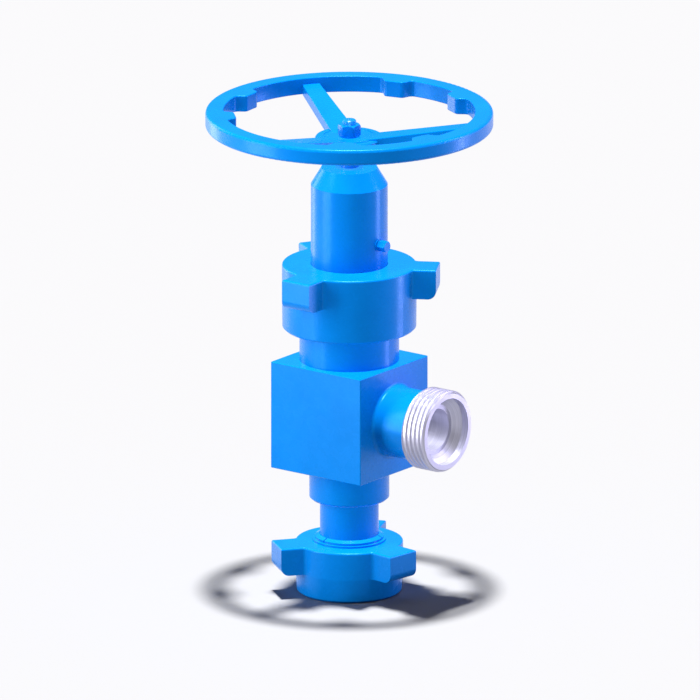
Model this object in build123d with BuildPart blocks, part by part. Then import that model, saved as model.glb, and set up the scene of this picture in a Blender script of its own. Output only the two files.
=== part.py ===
from build123d import *
from math import cos, degrees, radians, sin
import os

# Angle needle valve with 2 inch hammer-union ends. Millimetres, +Z up.
# The origin is on the stem axis, in the plane that the outlet union stands on.
# The inlet points along +X.

# ---- fits ----
run_gap = 0.3            # between pieces that move on each other
seat_gap = 0.05          # radial, of a turned fit inside one assembly
shaft_gap = 0.06         # radial, of a shaft that turns in its bush
edge_chamfer = 1.0       # broken edge of a turned piece
thread_lead_in = 2.0     # chamfer at the mouth of a nut's thread
moulded_round = 0.35     # corner radius of a moulded ring, as a share of its thinner side
overlap = 1.0            # how far shapes that are fused or cut reach into each other
near = 0.01              # places closer than this are the same place

# ---- flow path ----
flow_bore_r = 25.4
body_bore_step = 1.0     # the body's drilled passages are this much wider in radius

# ---- outlet pipe and union ----
pipe_wall = 9.9
shoulder_step = 7.7      # of the shoulder outside the pipe
shoulder_z = 22.0        # underside of the shoulder that the segments pull on
shoulder_thick = 12.0
nose_step = 4.7          # of the nose outside the pipe
nose_tip_wall = 4.6
nose_angle = 12.0        # between the nose's arc and the axis, where it meets the shoulder
sub_thread_step = 2.7    # of the screwed end outside the pipe
sub_thread_length = 38.0

# ---- segments and snap ring ----
segment_count = 3
segment_start = 20.0     # degrees round from the inlet to the first slit
segment_wall = 5.6
segment_flange_step = 7.8
segment_groove_depth = 1.6
segment_slit = 1.2
segment_collar = 5.4     # how far the segments stand out of the nut, below their chamfer
segment_chamfer = 2.6
snap_ring_step = 3.2     # of the ring outside the segments
snap_ring_thick = 2.3
snap_ring_start = 80.0   # degrees round from the inlet to one end of the ring
snap_ring_opening = 14.0      # degrees between its ends

# ---- outlet wing nut ----
outlet_nut_wall = 14.2
outlet_nut_height = 62.8
outlet_nut_play = 1.4    # radial, between its thread and the segments' flange
outlet_nut_roof = 16.5   # thickness of the lip that bears on the segments
outlet_lug_length = 26.2
outlet_lug_width = 44.0
outlet_lug_height = 34.0
outlet_lug_angle = -7.5
outlet_skirt_draft = 1.4

# ---- body ----
collar_wall = 10.1
collar_bottom = 115.1
collar_height = 40.6
collar_chamfer = 2.4
block_width = 134.8
block_height = 132.3
block_edge = 0.8
neck_wall = 15.85
neck_height = 77.0
chamber_wall = 3.05      # step between the chamber and the spigot's bore
chamber_floor_height = 33.0   # above the underside of the block
seat_pocket_r = 35.0
seat_pocket_depth = 20.0
seat_ring_depth = 3.0    # of the seat's seal ring, radial
seat_ring_height = 4.4

# ---- inlet ----
inlet_rise = 66.2             # of the inlet axis above the underside of the block
inlet_neck_wall = 7.6
inlet_neck_length = 47.6      # from the face of the block
inlet_neck_root_fillet = 4.0
inlet_shank_wall = 9.6
inlet_shank_length = 34.0
inlet_rim_wall = 9.1
inlet_thread_length = 33.0
inlet_recess_step = 15.4      # of the socket outside the flow bore
inlet_recess_depth = 17.6
inlet_seat_step = 5.1
inlet_seat_depth = 9.0
inlet_end_chamfer = 1.5

# ---- bonnet ----
bonnet_flange_play = 3.9 # radial, inside the wing nut
bonnet_flange_thick = 22.0
bonnet_barrel_r = 46.2
bonnet_barrel_height = 119.4
bonnet_cone_height = 20.8
bonnet_top_r = 33.8
spigot_r = 44.0
spigot_length = 62.0
spigot_port_chamfer = 2.0
seal_ring_section = 5.0
seal_groove_depth = 4.0
seal_ring_drop = 28.0    # from the neck's top down to the seal ring
backup_ring_height = 3.0
bonnet_cavity_r = 26.0
cap_thick = 16.0
cap_wiper_r = 16.5
wiper_thick = 6.0
wiper_lip = 1.0          # how far its lip stands out of the cap, at the stem
packing_box_r = 26.0

# ---- bonnet wing nut ----
bonnet_nut_wall = 20.5
bonnet_nut_height = 79.5
bonnet_nut_roof = 20.0
bonnet_nut_play = 0.5    # radial, between its thread and the neck
bonnet_lug_length = 26.4
bonnet_lug_width = 40.8
bonnet_lug_height = 36.6
bonnet_lug_angle = 30.0
bonnet_skirt_draft = 0.4

# ---- both wing nuts ----
lug_count = 3
lug_round = 10.5         # lower outer edge of a lug
lug_root_fillet = 5.0
nut_top_fillet = 2.6
nut_bottom_chamfer = 2.4

# ---- stem, needle and seat ----
stroke = 45.0
stem_r = 11.5
stem_thread_r = 16.0
stem_button_r = 11.0
stem_button_height = 7.0
stem_neck_r = 7.5
stem_neck_spare = 3.0    # of the neck above the needle's holder
thread_relief_width = 4.0     # groove where the drive thread ends above the packing's shank
thread_relief_depth = 1.2
thread_relief_spare = 2.0     # from the packing box up to the relief, with the valve shut
centre_drill_r = 2.0
centre_drill_depth = 3.0
needle_r = 24.0
needle_tip_r = 5.0
needle_tip_length = 36.0
needle_nose_chamfer = 1.5
needle_land = 6.0        # straight part of the tip above its cone
needle_shank_r = 12.0
needle_shank_length = 14.0
needle_holder_length = 36.0
needle_lock_r = 18.0
needle_lock_height = 10.0
seat_orifice_r = 19.0
seat_height = 24.0
seat_cone_depth = 5.0
stem_nut_r = 22.0
stem_nut_height = 50.0
stem_nut_flange_thick = 12.0
lock_ring_height = 10.0
thread_runout = 5.0
packing_ring_height = 8.0
packing_ring_count = 3
packing_header_height = 8.0
chevron = 3.0            # rise of each packing ring from its edges to its middle
gland_height = 14.0

# ---- handwheel ----
wheel_rim_r = 172.9
wheel_rim_width = 21.7
wheel_rim_height = 20.2
wheel_rim_fillet = 4.0   # outside edges
wheel_rim_inner_fillet = 1.5
wheel_disc_r = 41.0
wheel_disc_thick = 9.0
wheel_boss_r = 22.0
wheel_hub_height = 25.0
wheel_hub_gap = 13.8     # between the bonnet and the hub
wheel_hub_chamfer = 1.5
wheel_disc_web = 3.0     # chamfer between the boss and the disc
spoke_count = 3
spoke_angle = 24.5
spoke_hub_width = 31.0
spoke_rim_width = 21.0
spoke_thick = 14.0
spoke_rise = 25.3        # of the spoke's top, from the hub to the rim
spoke_round = 1.5
spoke_root_depth = 4.0   # how far a spoke starts inside the boss
lobe_count = 9
lobe_depth = 13.2
lobe_tip_width = 24.0
lobe_root_width = 40.0
lobe_round = 6.0
wheel_seat_r = 9.0
wheel_nut_flats = 24.0
wheel_nut_height = 13.0
wheel_nut_crown = 1.6
washer_r = 12.5
washer_thick = 1.5
stem_end_r = 8.0
stem_end_rise = 6.0
key_width = 5.0
key_length = 16.0
key_rise = 2.0           # of the key's foot above the underside of the hub

# ---- bleed plug ----
bleed_height = 50.0      # above the bonnet flange
bleed_flats = 12.0
bleed_head_length = 11.0
bleed_crown = 1.0
bleed_bore_r = 2.5
bleed_shank_r = 5.0
bleed_shank_length = 14.0
bleed_drill_spare = 1.0  # of its hole beyond the shank's end
bleed_washer_r = 9.0
bleed_washer_thick = 1.6
bleed_spot_depth = 1.5   # of the flat that the washer sits on

# ---- radii worked out from the sizes above ----
body_bore_r = flow_bore_r + body_bore_step
pipe_r = flow_bore_r + pipe_wall
shoulder_r = pipe_r + shoulder_step
nose_r = pipe_r + nose_step
nose_tip_r = flow_bore_r + nose_tip_wall
sub_thread_r = pipe_r + sub_thread_step
segment_bore_r = pipe_r + run_gap
segment_body_r = segment_bore_r + segment_wall
segment_groove_r = segment_body_r - segment_groove_depth
segment_flange_r = segment_body_r + segment_flange_step
snap_ring_r = segment_body_r + snap_ring_step
outlet_nut_thread_r = segment_flange_r + outlet_nut_play
outlet_nut_r = outlet_nut_thread_r + outlet_nut_wall
outlet_lug_reach = outlet_nut_r + outlet_lug_length
collar_r = sub_thread_r + collar_wall
spigot_bore_r = spigot_r + seat_gap
neck_r = spigot_bore_r + neck_wall
chamber_r = spigot_bore_r - chamber_wall
inlet_shank_r = flow_bore_r + inlet_shank_wall
inlet_neck_r = inlet_shank_r + inlet_neck_wall
inlet_recess_r = flow_bore_r + inlet_recess_step
inlet_thread_r = inlet_recess_r + inlet_rim_wall
inlet_seat_r = flow_bore_r + inlet_seat_step
bonnet_nut_thread_r = neck_r + bonnet_nut_play
bonnet_nut_r = bonnet_nut_thread_r + bonnet_nut_wall
bonnet_lug_reach = bonnet_nut_r + bonnet_lug_length
bonnet_flange_r = bonnet_nut_thread_r - bonnet_flange_play
wheel_rim_inner_r = wheel_rim_r - wheel_rim_width

# ---- heights worked out from the sizes above ----
block_bottom = collar_bottom + collar_height
block_top = block_bottom + block_height
inlet_height = block_bottom + inlet_rise
neck_top = block_top + neck_height
flange_top = neck_top + bonnet_flange_thick
barrel_top = flange_top + bonnet_barrel_height
bonnet_top = barrel_top + bonnet_cone_height
bonnet_nut_top = flange_top + run_gap + bonnet_nut_roof
bonnet_nut_bottom = bonnet_nut_top - bonnet_nut_height
chamber_floor = block_bottom + chamber_floor_height
seat_pocket_floor = chamber_floor - seat_pocket_depth
seat_top = seat_pocket_floor + seat_height
sub_top = collar_bottom + sub_thread_length
segment_base = shoulder_z + shoulder_thick + run_gap
segment_flange_top = outlet_nut_height - outlet_nut_roof - run_gap
segment_top = outlet_nut_height + segment_collar + segment_chamfer
snap_ring_bottom = outlet_nut_height + run_gap
inlet_face = block_width / 2 + inlet_neck_length
inlet_end = inlet_face + inlet_thread_length
spigot_bottom = neck_top - spigot_length
packing_bottom = spigot_bottom + gland_height
header_bottom = packing_bottom + packing_ring_count * packing_ring_height
packing_box_top = header_bottom + packing_header_height
thread_bottom = packing_box_top + thread_relief_spare + thread_relief_width
cavity_bottom = thread_bottom + stroke
stem_nut_top = cavity_bottom + stem_nut_height
cap_bottom = bonnet_top - cap_thick
hub_bottom = bonnet_top + wheel_hub_gap
hub_top = hub_bottom + wheel_hub_height
rim_bottom = hub_top + spoke_rise - spoke_thick

os.makedirs("parts", exist_ok=True)


def save(builder, name):
    builder.part.label = name
    export_step(builder.part, "parts/" + name + ".step")


def turn(points, mode=Mode.ADD):
    # A closed outline of (radius, height) points, revolved about the stem axis.
    with BuildSketch(Plane.XZ) as outline:
        with BuildLine():
            Polyline(*points, close=True)
        make_face()
    revolve(outline.sketch, axis=Axis.Z, mode=mode)


inlet_axis = Axis((0, 0, inlet_height), (1, 0, 0))
inlet_section = Plane(origin=(0, 0, inlet_height), x_dir=(1, 0, 0), z_dir=(0, -1, 0))


def turn_inlet(points, mode=Mode.ADD):
    # A closed outline of (distance along +X, radius) points, revolved about the inlet axis.
    with BuildSketch(inlet_section) as outline:
        with BuildLine():
            Polyline(*points, close=True)
        make_face()
    revolve(outline.sketch, axis=inlet_axis, mode=mode)


def radial_plane(angle, radius=0.0, height=0.0):
    # An upright plane that faces outwards: its x runs round the axis, its y runs up.
    a = radians(angle)
    return Plane(
        origin=(radius * cos(a), radius * sin(a), height),
        x_dir=(-sin(a), cos(a), 0),
        z_dir=(cos(a), sin(a), 0),
    )


def axial_plane(angle):
    # A plane through the stem axis: its x runs outwards, its y runs up.
    a = radians(angle)
    return Plane(origin=(0, 0, 0), x_dir=(cos(a), sin(a), 0), z_dir=(sin(a), -cos(a), 0))


# ---- valve body: forged block with a collar, a neck and a side neck ----
with BuildPart() as valve_body:
    with BuildSketch(Plane.XY.offset(block_bottom)):
        Rectangle(block_width, block_width)
    extrude(amount=block_height)
    chamfer(valve_body.edges(), length=block_edge)
    turn_inlet(
        [
            (0, 0),
            (0, inlet_neck_r),
            (inlet_face, inlet_neck_r),
            (inlet_face, 0),
        ]
    )
    neck_root = valve_body.edges().filter_by(GeomType.CIRCLE).filter_by(
        lambda e: abs(e.center().X - block_width / 2) < near and abs(e.radius - inlet_neck_r) < near
    )
    fillet(neck_root, radius=inlet_neck_root_fillet)
    turn(
        [
            (0, collar_bottom),
            (collar_r - collar_chamfer, collar_bottom),
            (collar_r, collar_bottom + collar_chamfer),
            (collar_r, block_bottom + overlap),
            (0, block_bottom + overlap),
        ]
    )
    turn(
        [
            (0, block_top - overlap),
            (neck_r, block_top - overlap),
            (neck_r, neck_top - nut_bottom_chamfer),
            (neck_r - nut_bottom_chamfer, neck_top),
            (0, neck_top),
        ]
    )
    # straight through the block, from the outlet pocket to the bonnet's spigot
    turn(
        [
            (0, collar_bottom),
            (sub_thread_r, collar_bottom),
            (sub_thread_r, sub_top),
            (body_bore_r, sub_top),
            (body_bore_r, seat_pocket_floor),
            (seat_pocket_r, seat_pocket_floor),
            (seat_pocket_r, chamber_floor),
            (chamber_r, chamber_floor),
            (chamber_r, spigot_bottom),
            (spigot_bore_r, spigot_bottom),
            (spigot_bore_r, neck_top),
            (0, neck_top),
        ],
        mode=Mode.SUBTRACT,
    )
    turn_inlet(
        [
            (0, 0),
            (0, body_bore_r),
            (inlet_face - inlet_shank_length, body_bore_r),
            (inlet_face - inlet_shank_length, inlet_shank_r),
            (inlet_face, inlet_shank_r),
            (inlet_face, 0),
        ],
        mode=Mode.SUBTRACT,
    )
save(valve_body, "valve_body")

# ---- inlet thread sub: bare steel, screwed into the side neck ----
with BuildPart() as inlet_thread_sub:
    turn_inlet(
        [
            (inlet_face - inlet_shank_length, flow_bore_r),
            (inlet_face - inlet_shank_length, inlet_shank_r - seat_gap),
            (inlet_face, inlet_shank_r - seat_gap),
            (inlet_face, inlet_thread_r),
            (inlet_end - inlet_end_chamfer, inlet_thread_r),
            (inlet_end, inlet_thread_r - inlet_end_chamfer),
            (inlet_end, inlet_recess_r),
            (inlet_end - inlet_seat_depth, inlet_recess_r),
            (inlet_end - inlet_recess_depth, inlet_seat_r),
            (inlet_end - inlet_recess_depth, flow_bore_r),
        ]
    )
save(inlet_thread_sub, "inlet_thread_sub")

# ---- outlet male sub: nose, shoulder and pipe, screwed up into the collar ----
with BuildPart() as outlet_male_sub:
    with BuildSketch(Plane.XZ):
        with BuildLine():
            nose_arc = TangentArc(
                (nose_r, shoulder_z),
                (nose_tip_r, 0),
                tangent=(-sin(radians(nose_angle)), -cos(radians(nose_angle))),
            )
            Polyline(
                nose_arc @ 1,
                (flow_bore_r, 0),
                (flow_bore_r, sub_top),
                (sub_thread_r - seat_gap, sub_top),
                (sub_thread_r - seat_gap, collar_bottom),
                (pipe_r, collar_bottom),
                (pipe_r, shoulder_z + shoulder_thick),
                (shoulder_r, shoulder_z + shoulder_thick),
                (shoulder_r, shoulder_z),
                nose_arc @ 0,
            )
        make_face()
    revolve(axis=Axis.Z)
save(outlet_male_sub, "outlet_male_sub")


def wing_nut(radius, bottom, height, reach, width, lug_height, first_angle, skirt_draft, bore):
    # A collar with three hammer lugs flush with its top; its skirt below the lugs narrows by
    # skirt_draft. The bore is a list of (radius, height) points from its lower end up.
    lug_bottom = bottom + height - lug_height
    top = bottom + height
    with BuildPart() as nut:
        with BuildSketch(Plane.XY.offset(lug_bottom)) as star:
            Circle(radius)
            for lug in range(lug_count):
                with Locations(Rotation(0, 0, first_angle + lug * 360 / lug_count)):
                    Rectangle(reach, width, align=(Align.MIN, Align.CENTER))
            roots = star.vertices().filter_by(lambda v: Vector(v.X, v.Y).length < radius + overlap)
            fillet(roots, radius=lug_root_fillet)
        extrude(amount=lug_height)
        for lug in range(lug_count):
            # rounds the lower outer edge of the lug across its whole width
            with BuildSketch(axial_plane(first_angle + lug * 360 / lug_count)):
                with Locations((reach - lug_round, lug_bottom + lug_round)):
                    Rectangle(lug_round + overlap, lug_round + overlap, align=(Align.MIN, Align.MAX))
                    Circle(lug_round, mode=Mode.SUBTRACT)
            extrude(amount=width, both=True, mode=Mode.SUBTRACT)
        turn(
            [
                (0, bottom),
                (radius - skirt_draft - nut_bottom_chamfer, bottom),
                (radius - skirt_draft, bottom + nut_bottom_chamfer),
                (radius, lug_bottom),
                (radius, lug_bottom + overlap),
                (0, lug_bottom + overlap),
            ]
        )
        rim = nut.faces().sort_by(Axis.Z)[-1].edges()
        fillet(rim, radius=nut_top_fillet)
        turn([(0, bottom)] + bore + [(0, top)], mode=Mode.SUBTRACT)
    return nut


# ---- outlet wing nut: turns and slides on the pipe, pulls on the segments ----
outlet_nut_bore = [
    (outlet_nut_thread_r + thread_lead_in, 0),
    (outlet_nut_thread_r, thread_lead_in),
    (outlet_nut_thread_r, outlet_nut_height - outlet_nut_roof),
    (segment_body_r + run_gap, outlet_nut_height - outlet_nut_roof),
    (segment_body_r + run_gap, outlet_nut_height),
]
outlet_wing_nut = wing_nut(
    outlet_nut_r, 0, outlet_nut_height, outlet_lug_reach, outlet_lug_width,
    outlet_lug_height, outlet_lug_angle, outlet_skirt_draft, outlet_nut_bore,
)
save(outlet_wing_nut, "outlet_wing_nut")

# ---- bonnet wing nut: screws on to the body's neck and holds the bonnet's flange ----
bonnet_nut_bore = [
    (bonnet_nut_thread_r + thread_lead_in, bonnet_nut_bottom),
    (bonnet_nut_thread_r, bonnet_nut_bottom + thread_lead_in),
    (bonnet_nut_thread_r, flange_top + run_gap),
    (bonnet_barrel_r + run_gap, flange_top + run_gap),
    (bonnet_barrel_r + run_gap, bonnet_nut_top),
]
bonnet_wing_nut = wing_nut(
    bonnet_nut_r, bonnet_nut_bottom, bonnet_nut_height, bonnet_lug_reach, bonnet_lug_width,
    bonnet_lug_height, bonnet_lug_angle, bonnet_skirt_draft, bonnet_nut_bore,
)
save(bonnet_wing_nut, "bonnet_wing_nut")

# ---- segments: three arcs behind the shoulder, which the nut pulls on ----
segment_pitch = 360 / segment_count
segment_turn = segment_pitch - degrees(segment_slit / segment_bore_r)
segment_outline = [
    (segment_bore_r, segment_base),
    (segment_flange_r, segment_base),
    (segment_flange_r, segment_flange_top),
    (segment_body_r, segment_flange_top),
    (segment_body_r, snap_ring_bottom),
    (segment_groove_r, snap_ring_bottom),
    (segment_groove_r, snap_ring_bottom + snap_ring_thick + seat_gap),
    (segment_body_r, snap_ring_bottom + snap_ring_thick + seat_gap),
    (segment_body_r, segment_top - segment_chamfer),
    (segment_body_r - 2 * segment_chamfer, segment_top),
    (segment_bore_r, segment_top),
]
for number in range(segment_count):
    with BuildPart() as nut_segment:
        with BuildSketch(axial_plane(segment_start + number * segment_pitch)):
            with BuildLine():
                Polyline(*segment_outline, close=True)
            make_face()
        revolve(axis=Axis.Z, revolution_arc=segment_turn)
    save(nut_segment, f"nut_segment_{number + 1}")

# ---- snap ring: an open ring that holds the segments together ----
with BuildPart() as segment_snap_ring:
    with BuildSketch(axial_plane(snap_ring_start)):
        with Locations(((segment_groove_r + seat_gap + snap_ring_r) / 2, snap_ring_bottom)):
            Rectangle(
                snap_ring_r - segment_groove_r - seat_gap, snap_ring_thick,
                align=(Align.CENTER, Align.MIN),
            )
    revolve(axis=Axis.Z, revolution_arc=360 - snap_ring_opening)
save(segment_snap_ring, "segment_snap_ring")

# ---- seat: an insert in the floor of the chamber, with a cone that the needle closes on ----
needle_slope = (needle_r - needle_tip_r) / needle_tip_length   # radius per height
seat_cone_r = seat_orifice_r + seat_cone_depth * needle_slope
seat_ring_middle = seat_pocket_floor + (chamber_floor - seat_pocket_floor) / 2
seat_groove_r = seat_pocket_r - seat_ring_depth
seat_groove_half = seat_ring_height / 2 + run_gap
with BuildPart() as seat:
    turn(
        [
            (seat_orifice_r, seat_pocket_floor),
            (seat_pocket_r - seat_gap, seat_pocket_floor),
            (seat_pocket_r - seat_gap, seat_ring_middle - seat_groove_half),
            (seat_groove_r, seat_ring_middle - seat_groove_half),
            (seat_groove_r, seat_ring_middle + seat_groove_half),
            (seat_pocket_r - seat_gap, seat_ring_middle + seat_groove_half),
            (seat_pocket_r - seat_gap, seat_top - edge_chamfer),
            (seat_pocket_r - seat_gap - edge_chamfer, seat_top),
            (seat_cone_r, seat_top),
            (seat_orifice_r, seat_top - seat_cone_depth),
        ]
    )
save(seat, "seat")


def soft_ring(inner, outer, middle, height, name):
    # A moulded ring with rounded edges, a little proud of neither side of its groove.
    with BuildPart() as ring:
        with BuildSketch(Plane.XZ) as section:
            with Locations(((inner + outer) / 2, middle)):
                RectangleRounded(outer - inner, height, moulded_round * min(outer - inner, height))
        revolve(section.sketch, axis=Axis.Z)
    save(ring, name)


soft_ring(seat_groove_r, seat_pocket_r, seat_ring_middle, seat_ring_height, "seat_seal_ring")

# ---- needle: a carbide tip, its holder, and the ring that shuts the stem's button in ----
cone_r_at_seat_top = seat_cone_r - run_gap
needle_bottom = seat_top - (cone_r_at_seat_top - needle_tip_r) / needle_slope
needle_shoulder = needle_bottom + needle_tip_length
holder_bottom = needle_shoulder + needle_land
holder_top = holder_bottom + needle_holder_length
button_top = holder_top - needle_lock_height - run_gap
button_bottom = button_top - stem_button_height
with BuildPart() as needle_tip:
    turn(
        [
            (0, needle_bottom),
            (needle_tip_r - needle_nose_chamfer, needle_bottom),
            (needle_tip_r + needle_nose_chamfer * needle_slope, needle_bottom + needle_nose_chamfer),
            (needle_r, needle_shoulder),
            (needle_r, holder_bottom),
            (needle_shank_r, holder_bottom),
            (needle_shank_r, holder_bottom + needle_shank_length),
            (0, holder_bottom + needle_shank_length),
        ]
    )
save(needle_tip, "needle_tip")

with BuildPart() as needle_holder:
    turn(
        [
            (needle_shank_r + seat_gap, holder_bottom),
            (needle_r, holder_bottom),
            (needle_r, holder_top - edge_chamfer),
            (needle_r - edge_chamfer, holder_top),
            (needle_lock_r, holder_top),
            (needle_lock_r, holder_top - needle_lock_height),
            (stem_button_r + run_gap, holder_top - needle_lock_height),
            (stem_button_r + run_gap, button_bottom - run_gap),
            (0, button_bottom - run_gap),
            (0, holder_bottom + needle_shank_length),
            (needle_shank_r + seat_gap, holder_bottom + needle_shank_length),
        ]
    )
save(needle_holder, "needle_holder")

with BuildPart() as needle_lock_ring:
    turn(
        [
            (stem_neck_r + run_gap, holder_top - needle_lock_height),
            (needle_lock_r - seat_gap, holder_top - needle_lock_height),
            (needle_lock_r - seat_gap, holder_top),
            (stem_neck_r + run_gap, holder_top),
        ]
    )
save(needle_lock_ring, "needle_lock_ring")

# ---- bonnet: flange under the wing nut, spigot in the neck, barrel and cone above ----
seal_ring_top = neck_top - seal_ring_drop
seal_groove_r = spigot_r - seal_groove_depth
backup_top = seal_ring_top - seal_ring_section
backup_bottom = backup_top - backup_ring_height
land_bore_r = stem_thread_r + run_gap
bleed_z = flange_top + bleed_height
spot_face = bonnet_barrel_r - bleed_spot_depth
bleed_hole_floor = bonnet_barrel_r - bleed_shank_length - bleed_drill_spare
with BuildPart() as bonnet:
    turn(
        [
            (land_bore_r, packing_box_top),
            (packing_box_r, packing_box_top),
            (packing_box_r, spigot_bottom),
            (spigot_r - spigot_port_chamfer, spigot_bottom),
            (spigot_r, spigot_bottom + spigot_port_chamfer),
            (spigot_r, backup_bottom),
            (seal_groove_r, backup_bottom),
            (seal_groove_r, seal_ring_top),
            (spigot_r, seal_ring_top),
            (spigot_r, neck_top),
            (bonnet_flange_r, neck_top),
            (bonnet_flange_r, flange_top),
            (bonnet_barrel_r, flange_top),
            (bonnet_barrel_r, barrel_top),
            (bonnet_top_r, bonnet_top),
            (bonnet_cavity_r, bonnet_top),
            (bonnet_cavity_r, cavity_bottom),
            (land_bore_r, cavity_bottom),
        ]
    )
    with BuildSketch(radial_plane(0, bonnet_cavity_r - overlap, bleed_z)):
        Circle(bleed_bore_r)
    extrude(amount=bonnet_barrel_r, mode=Mode.SUBTRACT)
    with BuildSketch(radial_plane(0, bleed_hole_floor, bleed_z)):
        Circle(bleed_shank_r + seat_gap)
    extrude(amount=bonnet_barrel_r, mode=Mode.SUBTRACT)
    with BuildSketch(radial_plane(0, spot_face, bleed_z)):
        Circle(bleed_washer_r + run_gap)
    extrude(amount=bonnet_barrel_r, mode=Mode.SUBTRACT)
save(bonnet, "bonnet")

soft_ring(
    seal_groove_r, spigot_bore_r, seal_ring_top - seal_ring_section / 2,
    seal_ring_section, "bonnet_seal_ring",
)
with BuildPart() as bonnet_backup_ring:
    turn(
        [
            (seal_groove_r, backup_bottom),
            (spigot_r, backup_bottom),
            (spigot_r, backup_top),
            (seal_groove_r, backup_top),
        ]
    )
save(bonnet_backup_ring, "bonnet_backup_ring")

# ---- packing: gland, chevron rings and header round the stem, in the foot of the bonnet ----
packing_bore_r = stem_thread_r + shaft_gap
packing_middle_r = (packing_box_r + packing_bore_r) / 2
chevron_step = chevron * (land_bore_r - packing_bore_r) / (packing_middle_r - packing_bore_r)
with BuildPart() as packing_gland:
    turn(
        [
            (land_bore_r, spigot_bottom),
            (packing_box_r - seat_gap, spigot_bottom),
            (packing_box_r - seat_gap, packing_bottom),
            (packing_middle_r, packing_bottom + chevron),
            (land_bore_r, packing_bottom + chevron_step),
        ]
    )
save(packing_gland, "packing_gland")

for number in range(packing_ring_count):
    ring_bottom = packing_bottom + number * packing_ring_height
    with BuildPart() as packing_ring:
        turn(
            [
                (packing_bore_r, ring_bottom),
                (packing_middle_r, ring_bottom + chevron),
                (packing_box_r - seat_gap, ring_bottom),
                (packing_box_r - seat_gap, ring_bottom + packing_ring_height),
                (packing_middle_r, ring_bottom + packing_ring_height + chevron),
                (packing_bore_r, ring_bottom + packing_ring_height),
            ]
        )
    save(packing_ring, f"packing_ring_{number + 1}")

with BuildPart() as packing_header:
    turn(
        [
            (land_bore_r, header_bottom + chevron_step),
            (packing_middle_r, header_bottom + chevron),
            (packing_box_r - seat_gap, header_bottom),
            (packing_box_r - seat_gap, packing_box_top),
            (land_bore_r, packing_box_top),
        ]
    )
save(packing_header, "packing_header")

# ---- stem nut: a bronze bush with the drive thread, held down by a lock ring ----
with BuildPart() as stem_nut:
    turn(
        [
            (stem_thread_r + shaft_gap, cavity_bottom),
            (bonnet_cavity_r - seat_gap, cavity_bottom),
            (bonnet_cavity_r - seat_gap, cavity_bottom + stem_nut_flange_thick),
            (stem_nut_r, cavity_bottom + stem_nut_flange_thick),
            (stem_nut_r, stem_nut_top),
            (stem_thread_r + shaft_gap, stem_nut_top),
        ]
    )
save(stem_nut, "stem_nut")

with BuildPart() as stem_nut_lock_ring:
    turn(
        [
            (land_bore_r, stem_nut_top),
            (bonnet_cavity_r - seat_gap, stem_nut_top),
            (bonnet_cavity_r - seat_gap, stem_nut_top + lock_ring_height),
            (land_bore_r, stem_nut_top + lock_ring_height),
        ]
    )
save(stem_nut_lock_ring, "stem_nut_lock_ring")

# ---- bonnet cap and wiper: shut the top of the bonnet round the stem ----
with BuildPart() as bonnet_cap:
    turn(
        [
            (stem_r + shaft_gap, cap_bottom),
            (bonnet_cavity_r - seat_gap, cap_bottom),
            (bonnet_cavity_r - seat_gap, bonnet_top),
            (cap_wiper_r, bonnet_top),
            (cap_wiper_r, bonnet_top - wiper_thick),
            (stem_r + shaft_gap, bonnet_top - wiper_thick),
        ]
    )
save(bonnet_cap, "bonnet_cap")

with BuildPart() as wiper_ring:
    turn(
        [
            (stem_r + shaft_gap, bonnet_top - wiper_thick),
            (cap_wiper_r - seat_gap, bonnet_top - wiper_thick),
            (cap_wiper_r - seat_gap, bonnet_top),
            (stem_r + shaft_gap, bonnet_top + wiper_lip),
        ]
    )
save(wiper_ring, "wiper_ring")

# ---- stem: button, packing shank, drive thread, neck through the cap, wheel seat, end ----
neck_end = holder_top + stem_neck_spare
relief_r = stem_thread_r - thread_relief_depth
relief_bottom = thread_bottom - thread_relief_width
thread_top = stem_nut_top + thread_runout
nut_bottom = hub_top + washer_thick
nut_top = nut_bottom + wheel_nut_height
stem_top = nut_top + stem_end_rise
key_bottom = hub_bottom + key_rise
with BuildPart() as stem:
    turn(
        [
            (0, button_bottom),
            (stem_button_r, button_bottom),
            (stem_button_r, button_top),
            (stem_neck_r, button_top),
            (stem_neck_r, neck_end),
            (stem_thread_r, neck_end + stem_thread_r - stem_neck_r),
            (stem_thread_r, relief_bottom - thread_relief_depth),
            (relief_r, relief_bottom),
            (relief_r, thread_bottom - thread_relief_depth),
            (stem_thread_r, thread_bottom),
            (stem_thread_r, thread_top - edge_chamfer),
            (stem_thread_r - edge_chamfer, thread_top),
            (stem_r, thread_top),
            (stem_r, hub_bottom),
            (wheel_seat_r, hub_bottom),
            (wheel_seat_r, hub_top - edge_chamfer),
            (stem_end_r, hub_top),
            (stem_end_r, stem_top - edge_chamfer),
            (stem_end_r - edge_chamfer, stem_top),
            (centre_drill_r, stem_top),
            (0, stem_top - centre_drill_depth),
        ]
    )
    with BuildSketch(Plane.XY.offset(key_bottom)):
        with Locations((wheel_seat_r, 0)):
            Rectangle(key_width, key_width)
    extrude(amount=key_length, mode=Mode.SUBTRACT)
save(stem, "stem")

with BuildPart() as wheel_key:
    with BuildSketch(Plane.XY.offset(key_bottom)):
        with Locations((wheel_seat_r, 0)):
            Rectangle(key_width, key_width)
    extrude(amount=key_length)
save(wheel_key, "wheel_key")

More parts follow.
